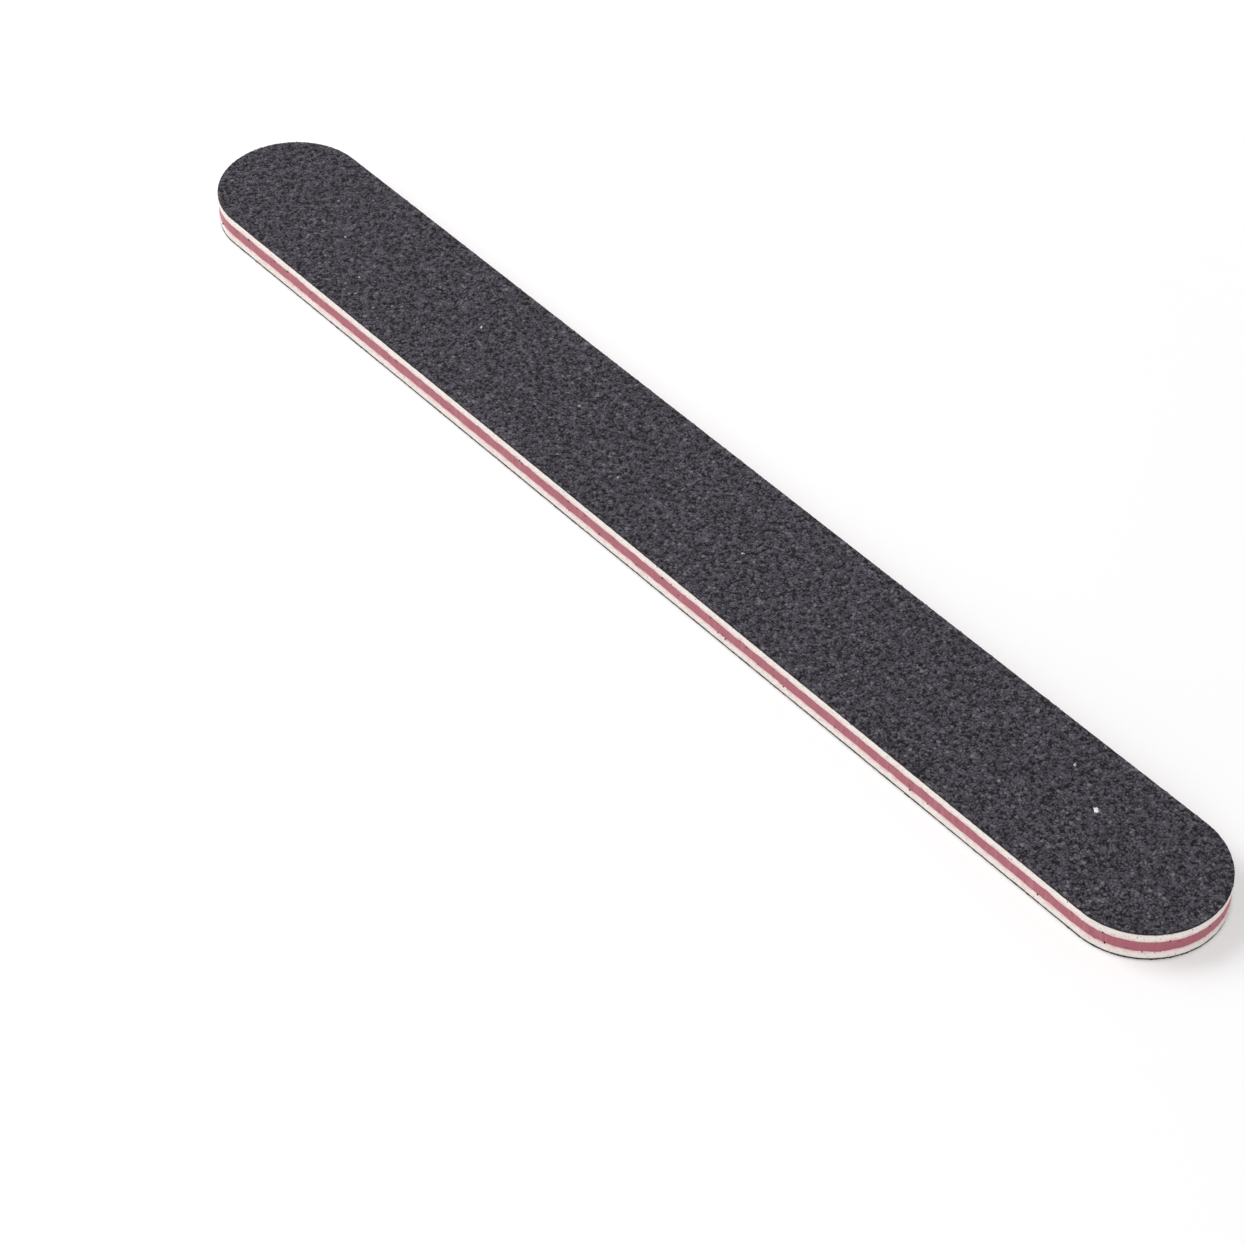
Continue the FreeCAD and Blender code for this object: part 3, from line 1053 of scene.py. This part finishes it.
class EMERY_OT_films(bpy.types.Operator):
    """Lays the four glue films between the layers"""

    bl_idname = "emery.films"
    bl_label = "Glue films"

    first_seed = 6

    def execute(self, context):
        settings = context.scene.emery_board
        cut = settings.cut
        material = glue_material(settings)
        films = [f"{side}_{joint}" for side in FACES for joint in ("face", "core")]
        for seed, film in enumerate(films, start=self.first_seed):
            make_layer(f"{film}_glue", f"{film}_adhesive", {
                "Length": BOARD_LENGTH - 2.0 * cut.film_recess, "Width": BOARD_WIDTH - 2.0 * cut.film_recess,
                "Step": cut.sheet_step, "Rows": cut.sheet_rows, "Waviness": cut.film_raggedness,
                "Wave Size": cut.film_wave_size, "Seed": float(seed), "Material": material,
            })
        return {"FINISHED"}


class EMERY_OT_grit(bpy.types.Operator):
    """Coats both faces with resin and beds coarse and fine grains in it"""

    bl_idname = "emery.grit"
    bl_label = "Grit coats"

    # Steps between the seeds of the two faces and of the two grades.
    face_seeds = 100
    grade_seeds = 40

    def execute(self, context):
        settings = context.scene.emery_board
        grit = settings.grit
        resin = resin_material(settings)
        grain = grain_material(settings)
        coat_tree = resin_coat_tree()
        field_tree = grain_field_tree()
        base, thickness = layer_span("upper_grit_coat")
        grades = (
            ("coarse", grit.coarse_spacing, grit.coarse_count, grit.coarse_least, grit.coarse_most),
            ("fine", grit.fine_spacing, grit.fine_count, grit.fine_least, grit.fine_most),
        )
        for seed, (side, across) in enumerate(FACES.items(), start=1):
            coat = run_tree(coat_tree, f"{side}_resin", {
                "Base": base, "Depth": grit.resin_depth, "Step": grit.resin_step, "Bumps": grit.resin_bumps,
                "Bump Size": grit.resin_bump_size, "Chips": grit.rim_chips, "Seed": float(seed),
                "Material": resin,
            })
            made = [coat]
            for grade_number, (grade, spacing, count, least, most) in enumerate(grades):
                made.append(run_tree(field_tree, f"{side}_{grade}_grains", {
                    "Pit Spacing": grit.pit_spacing, "Ridge Contrast": grit.ridge_shading,
                    "Grain Contrast": grit.grain_contrast, "Spacing": spacing, "Count": count / SQUARE_MM,
                    "Least": least, "Most": most, "Flatness": grit.flatness, "Bed": base + grit.resin_depth,
                    "Tips": base + thickness, "Edge Wear": grit.edge_wear, "Wear Width": grit.wear_width,
                    "Raggedness": grit.rim_raggedness, "Side": across,
                    "Seed": self.face_seeds * seed + self.grade_seeds * grade_number, "Material": grain,
                }, source=coat.data))
            smooth_with_creases(coat)
            for piece in made:
                if side == "lower":
                    turn_over(piece)
                dress_piece(piece, (f"{side}_grit_coat",) if piece is coat else ())
        return {"FINISHED"}


class EMERY_OT_crumbs(bpy.types.Operator):
    """Scatters grit crumbs over the cut edge"""

    bl_idname = "emery.crumbs"
    bl_label = "Edge crumbs"

    first_seed = 500
    seed_step = 40

    def execute(self, context):
        settings = context.scene.emery_board
        cut, grit = settings.cut, settings.grit
        tree = crumb_tree()
        foam_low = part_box("lower_foam_pad")[0][2]
        foam_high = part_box("upper_foam_pad")[1][2]
        core_low, core_high = (corner[2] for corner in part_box("core_strip"))
        half_band = grit.glue_crumb_band / 2.0
        anywhere = (grit.crumb_count, grit.crumb_least, grit.crumb_most)
        at_glue = (grit.glue_crumb_count, grit.glue_crumb_least, grit.glue_crumb_most)
        bands = (
            ("cut_edge_crumbs", foam_low, foam_high, anywhere),
            ("lower_glue_crumbs", core_low - half_band, core_low + half_band, at_glue),
            ("upper_glue_crumbs", core_high - half_band, core_high + half_band, at_glue),
        )
        for number, (name, low, high, (count, least, most)) in enumerate(bands):
            wall = run_tree(bpy.data.node_groups[LAYER_TREE], "crumb_wall", {
                "Base": low, "Thickness": high - low, "Step": cut.sheet_step, "Rows": cut.sheet_rows,
            })
            crumbs = run_tree(tree, name, {
                "Count": count / SQUARE_MM, "Least": least, "Most": most,
                "Seed": self.first_seed + self.seed_step * number,
                "Material": bpy.data.materials[GRAIN_MATERIAL],
            }, source=wall.data)
            bpy.data.meshes.remove(wall.data)
            dress_piece(crumbs)
        return {"FINISHED"}


class EMERY_OT_pale_grains(bpy.types.Operator):
    """Puts the few pale grains on the upper face"""

    bl_idname = "emery.pale_grains"
    bl_label = "Pale grains"

    # The two halves of the large pale grain near one end.
    large_places = ((69.75 * MM, 1.85 * MM), (69.5 * MM, 2.1 * MM))
    # How many small ones lie elsewhere, how wide they are beside the large one, and how far from the edge.
    small_count = 30
    small_widths = (0.35, 0.6)
    margin = MM
    # A power that makes most of the small ones grey and few of them white.
    tone_power = 4
    dice_seed = 7
    seed = 700

    def execute(self, context):
        settings = context.scene.emery_board
        grit = settings.grit
        base, thickness = layer_span("upper_grit_coat")
        surface = base + grit.resin_depth
        reach = (BOARD_LENGTH - BOARD_WIDTH) / 2.0
        side = BOARD_WIDTH / 2.0 - self.margin
        places = [(x, y, surface) for x, y in self.large_places]
        widths = [grit.pale_width] * len(places)
        tones = [1.0] * len(places)
        dice = random.Random(self.dice_seed)
        for _ in range(self.small_count):
            places.append((dice.uniform(-reach, reach), dice.uniform(-side, side), surface))
            widths.append(grit.pale_width * dice.uniform(*self.small_widths))
            tones.append(dice.random() ** self.tone_power)
        points = bpy.data.meshes.new("pale_grain_places")
        points.from_pydata(places, [], [])
        for name, values in ((GRAIN_WIDTH, widths), (TONE, tones)):
            points.attributes.new(name, "FLOAT", "POINT").data.foreach_set("value", values)
        grains = run_tree(placed_grain_tree(), "pale_grains", {
            "Flatness": grit.flatness, "Bed": surface, "Tips": base + thickness, "Seed": self.seed,
            "Material": pale_grain_material(settings),
        }, source=points)
        bpy.data.meshes.remove(points)
        dress_piece(grains)
        return {"FINISHED"}


class EMERY_OT_studio(bpy.types.Operator):
    """Sets up the floor, the lights and the camera"""

    bl_idname = "emery.studio"
    bl_label = "Studio"

    floor_size = 6.0
    key_size = 0.5
    key_place = (-0.46, -0.27, 0.52)
    fill_size = 0.3
    fill_place = (0.42, -0.28, 0.1)
    clip_start = 10.0 * MM

    def execute(self, context):
        studio = context.scene.emery_board.studio
        self.make_floor(context, studio)
        self.make_lights(context, studio)
        self.make_camera(context, studio)
        context.scene.view_settings.view_transform = "Standard"
        return {"FINISHED"}

    def make_floor(self, context, studio):
        """A wide floor under the board."""
        half = self.floor_size / 2.0
        corners = [(-half, -half, 0.0), (half, -half, 0.0), (half, half, 0.0), (-half, half, 0.0)]
        mesh = bpy.data.meshes.new("floor")
        mesh.from_pydata(corners, [], [(0, 1, 2, 3)])
        mesh.materials.append(floor_material(studio))
        floor = bpy.data.objects.new("floor", mesh)
        context.scene.collection.objects.link(floor)

    def make_lights(self, context, studio):
        """A large soft lamp, a low one that lights the near end, and even light from all around."""
        lamps = (
            ("key_light", studio.key_watts, self.key_size, self.key_place),
            ("fill_light", studio.fill_watts, self.fill_size, self.fill_place),
        )
        for name, watts, size, place in lamps:
            lamp = bpy.data.lights.new(name, "AREA")
            lamp.energy = watts
            lamp.size = size
            holder = bpy.data.objects.new(name, lamp)
            holder.location = place
            holder.rotation_euler = (-Vector(place)).to_track_quat("-Z", "Y").to_euler()
            context.scene.collection.objects.link(holder)

        world = bpy.data.worlds.new("studio")
        world.use_nodes = True
        bench = NodeBench(world.node_tree)
        background = world.node_tree.nodes["Background"]
        direct = seen_directly(bench)
        bench.feed(background.inputs["Color"], WHITE)
        bench.feed(background.inputs["Strength"], bench.spread(direct, studio.ambient, 1.0))
        context.scene.world = world

    def make_camera(self, context, studio):
        """The camera at the photograph's viewing angle."""
        flat = math.cos(studio.elevation)
        back = Vector((
            math.sin(studio.azimuth) * flat, -math.cos(studio.azimuth) * flat, math.sin(studio.elevation)
        ))
        camera = bpy.data.objects.new("camera", bpy.data.cameras.new("camera"))
        camera.location = Vector((0.0, 0.0, BOARD_THICKNESS / 2.0)) + back * studio.distance
        camera.rotation_euler = (Vector(studio.aim) - camera.location).to_track_quat("-Z", "Y").to_euler()
        camera.data.lens = studio.lens
        camera.data.clip_start = self.clip_start
        context.scene.collection.objects.link(camera)
        context.scene.camera = camera


class EMERY_PT_board(bpy.types.Panel):
    """Sidebar panel with the board's settings and its steps"""

    bl_label = "Emery Board"
    bl_idname = "EMERY_PT_board"
    bl_space_type = "VIEW_3D"
    bl_region_type = "UI"
    bl_category = "Emery Board"

    def draw(self, context):
        settings = context.scene.emery_board
        for group in (settings.cut, settings.grit, settings.colours, settings.studio):
            box = self.layout.box()
            for name in group.__annotations__:
                box.prop(group, name)
        for operator in OPERATORS:
            self.layout.operator(operator.bl_idname)


OPERATORS = (
    EMERY_OT_core,
    EMERY_OT_foam,
    EMERY_OT_papers,
    EMERY_OT_films,
    EMERY_OT_grit,
    EMERY_OT_crumbs,
    EMERY_OT_pale_grains,
    EMERY_OT_studio,
)
CLASSES = (
    EmeryCutSettings,
    EmeryGritSettings,
    EmeryColourSettings,
    EmeryStudioSettings,
    EmerySettings,
    *OPERATORS,
    EMERY_PT_board,
)


def register():
    """Adds the settings, the operators and the panel."""
    for item in CLASSES:
        bpy.utils.register_class(item)
    bpy.types.Scene.emery_board = PointerProperty(type=EmerySettings)


def unregister():
    """Takes them away again."""
    del bpy.types.Scene.emery_board
    for item in reversed(CLASSES):
        bpy.utils.unregister_class(item)


def main():
    """Runs every step in order."""
    register()
    for operator in OPERATORS:
        group, name = operator.bl_idname.split(".")
        getattr(getattr(bpy.ops, group), name)()


if __name__ == "__main__":
    main()
